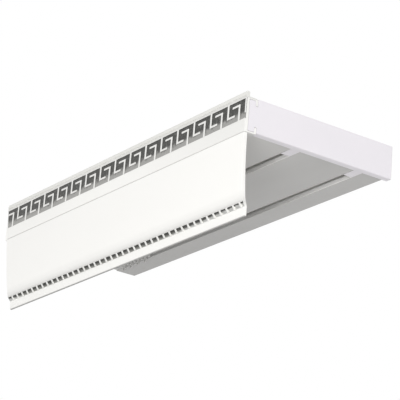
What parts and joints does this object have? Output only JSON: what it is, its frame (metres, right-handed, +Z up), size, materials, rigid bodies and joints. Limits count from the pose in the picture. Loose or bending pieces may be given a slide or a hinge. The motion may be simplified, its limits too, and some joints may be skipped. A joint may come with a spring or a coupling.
{
  "type": "double curtain track",
  "caption": "Ceiling-mounted double curtain track: hollow two-channel profile with a tall ornamented fascia clipped to its front, an end cap, and sliding runners with swivel rings.",
  "frame": {"origin": "middle of the track's ceiling face, on the plane that lies against the ceiling", "axes": "+X along the track towards the capped end, -Y out of the ornamented fascia towards the room, +Z up into the ceiling"},
  "size_m": [0.2655, 0.1034, 0.0715],
  "materials": {
    "track_pvc": "extruded hard PVC, satin, pale warm grey",
    "cap_plastic": "moulded, satin, cool white",
    "fascia_pvc": "extruded PVC, soft sheen, warm white",
    "soft_pvc": "soft co-extruded lip, matt white",
    "foil": "hot-stamped metallic foil, dark silver",
    "key_lacquer": "white, slightly raised, soft sheen",
    "runner_nylon": "moulded nylon, smooth",
    "ring_nylon": "moulded nylon, smooth",
    "screw_steel": "zinc-plated steel"
  },
  "bodies": {
    "track": {"track_profile": "track_pvc", "fascia_panel": "fascia_pvc", "fascia_top_lip": "soft_pvc", "meander_foil": "foil", "meander_upper_keys": "key_lacquer", "meander_lower_keys": "key_lacquer", "dentil_foil": "foil", "dentil_teeth": "key_lacquer", "front_stop": "runner_nylon", "front_stop_screw": "screw_steel", "rear_stop": "runner_nylon", "rear_stop_screw": "screw_steel"},
    "cap": {"end_cap": "cap_plastic"},
    "front_runner_1": {"front_runner_1": "runner_nylon"},
    "front_ring_1": {"front_ring_1": "ring_nylon"},
    "front_runner_2": {"front_runner_2": "runner_nylon"},
    "front_ring_2": {"front_ring_2": "ring_nylon"},
    "front_runner_3": {"front_runner_3": "runner_nylon"},
    "front_ring_3": {"front_ring_3": "ring_nylon"},
    "front_runner_4": {"front_runner_4": "runner_nylon"},
    "front_ring_4": {"front_ring_4": "ring_nylon"},
    "rear_runner_1": {"rear_runner_1": "runner_nylon"},
    "rear_ring_1": {"rear_ring_1": "ring_nylon"},
    "rear_runner_2": {"rear_runner_2": "runner_nylon"},
    "rear_ring_2": {"rear_ring_2": "ring_nylon"},
    "rear_runner_3": {"rear_runner_3": "runner_nylon"},
    "rear_ring_3": {"rear_ring_3": "ring_nylon"},
    "rear_runner_4": {"rear_runner_4": "runner_nylon"},
    "rear_ring_4": {"rear_ring_4": "ring_nylon"}
  },
  "joints": [
    {"name": "cap_pull", "type": "slide", "parent": "track", "child": "cap", "axis": [1, 0, 0], "range_m": [0, 0.025]},
    {"name": "front_runner_1_slide", "type": "slide", "parent": "track", "child": "front_runner_1", "axis": [1, 0, 0], "range_m": [0, 0.051]},
    {"name": "front_ring_1_swivel", "type": "hinge", "parent": "front_runner_1", "child": "front_ring_1", "pos_m": [-0.1167, -0.015, -0.0168], "axis": [0, 0, 1], "continuous": true},
    {"name": "front_runner_2_slide", "type": "slide", "parent": "track", "child": "front_runner_2", "axis": [1, 0, 0], "range_m": [0, 0.102]},
    {"name": "front_ring_2_swivel", "type": "hinge", "parent": "front_runner_2", "child": "front_ring_2", "pos_m": [-0.1084, -0.015, -0.0168], "axis": [0, 0, 1], "continuous": true},
    {"name": "front_runner_3_slide", "type": "slide", "parent": "track", "child": "front_runner_3", "axis": [1, 0, 0], "range_m": [0, 0.153]},
    {"name": "front_ring_3_swivel", "type": "hinge", "parent": "front_runner_3", "child": "front_ring_3", "pos_m": [-0.1001, -0.015, -0.0168], "axis": [0, 0, 1], "continuous": true},
    {"name": "front_runner_4_slide", "type": "slide", "parent": "track", "child": "front_runner_4", "axis": [1, 0, 0], "range_m": [0, 0.204]},
    {"name": "front_ring_4_swivel", "type": "hinge", "parent": "front_runner_4", "child": "front_ring_4", "pos_m": [-0.0918, -0.015, -0.0168], "axis": [0, 0, 1], "continuous": true},
    {"name": "rear_runner_1_slide", "type": "slide", "parent": "track", "child": "rear_runner_1", "axis": [1, 0, 0], "range_m": [0, 0.051]},
    {"name": "rear_ring_1_swivel", "type": "hinge", "parent": "rear_runner_1", "child": "rear_ring_1", "pos_m": [-0.1167, 0.0296, -0.0168], "axis": [0, 0, 1], "continuous": true},
    {"name": "rear_runner_2_slide", "type": "slide", "parent": "track", "child": "rear_runner_2", "axis": [1, 0, 0], "range_m": [0, 0.102]},
    {"name": "rear_ring_2_swivel", "type": "hinge", "parent": "rear_runner_2", "child": "rear_ring_2", "pos_m": [-0.1084, 0.0296, -0.0168], "axis": [0, 0, 1], "continuous": true},
    {"name": "rear_runner_3_slide", "type": "slide", "parent": "track", "child": "rear_runner_3", "axis": [1, 0, 0], "range_m": [0, 0.153]},
    {"name": "rear_ring_3_swivel", "type": "hinge", "parent": "rear_runner_3", "child": "rear_ring_3", "pos_m": [-0.1001, 0.0296, -0.0168], "axis": [0, 0, 1], "continuous": true},
    {"name": "rear_runner_4_slide", "type": "slide", "parent": "track", "child": "rear_runner_4", "axis": [1, 0, 0], "range_m": [0, 0.204]},
    {"name": "rear_ring_4_swivel", "type": "hinge", "parent": "rear_runner_4", "child": "rear_ring_4", "pos_m": [-0.0918, 0.0296, -0.0168], "axis": [0, 0, 1], "continuous": true}
  ],
  "couplings": [
    {"joint": "front_runner_1_slide", "follows": "front_runner_4_slide", "ratio": 0.25},
    {"joint": "front_runner_2_slide", "follows": "front_runner_4_slide", "ratio": 0.5},
    {"joint": "front_runner_3_slide", "follows": "front_runner_4_slide", "ratio": 0.75},
    {"joint": "rear_runner_1_slide", "follows": "rear_runner_4_slide", "ratio": 0.25},
    {"joint": "rear_runner_2_slide", "follows": "rear_runner_4_slide", "ratio": 0.5},
    {"joint": "rear_runner_3_slide", "follows": "rear_runner_4_slide", "ratio": 0.75}
  ]
}
